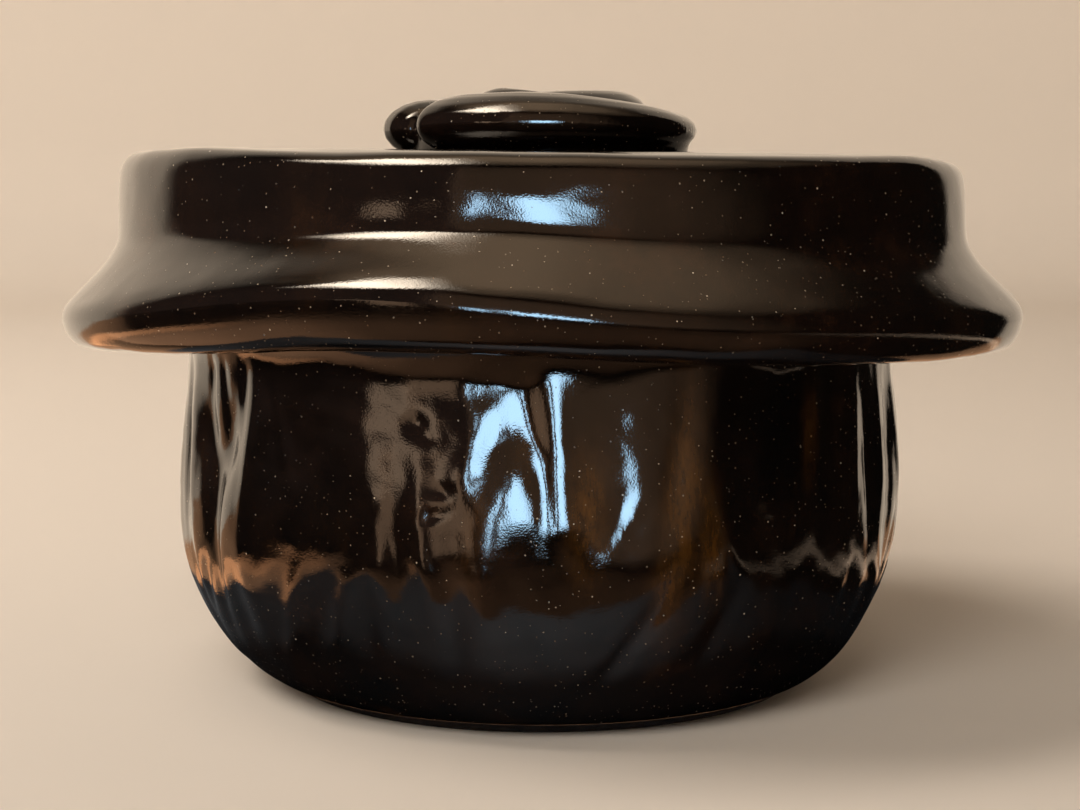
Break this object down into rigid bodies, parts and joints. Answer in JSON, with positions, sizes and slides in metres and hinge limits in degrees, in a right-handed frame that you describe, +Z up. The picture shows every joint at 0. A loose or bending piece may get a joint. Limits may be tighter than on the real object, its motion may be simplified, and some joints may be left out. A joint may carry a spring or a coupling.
{
  "type": "go stone bowl",
  "caption": "Round-bellied stoneware bowl for go stones, with a wide-brimmed lift-off lid whose hollow holds captured stones and a coiled knob.",
  "frame": {"origin": "centre of the foot's underside, on the surface the bowl stands on", "axes": "+Z up along the bowl's axis; -Y is the front, the side the picture shows; +X is to the right seen from the front"},
  "size_m": [0.17, 0.17, 0.106],
  "materials": {
    "bowl_glaze": "glossy black-brown glaze, breaking to amber brown where it runs thin",
    "lid_glaze": "glossy black-brown glaze with fine pinholes and brown edges",
    "knob_glaze": "glossy black-brown glaze",
    "collar_glaze": "thin glossy dark brown glaze",
    "bare_clay": "unglazed iron-rich stoneware, matt"
  },
  "bodies": {
    "bowl": {"bowl_body": "bowl_glaze", "bowl_foot_ring": "bare_clay", "bowl_collar": "collar_glaze"},
    "lid": {"lid_shell": "lid_glaze", "lid_knob": "knob_glaze"}
  },
  "joints": [
    {"name": "lid_lift", "type": "slide", "parent": "bowl", "child": "lid", "axis": [0, 0, 1], "range_m": [0, 0.1]}
  ]
}
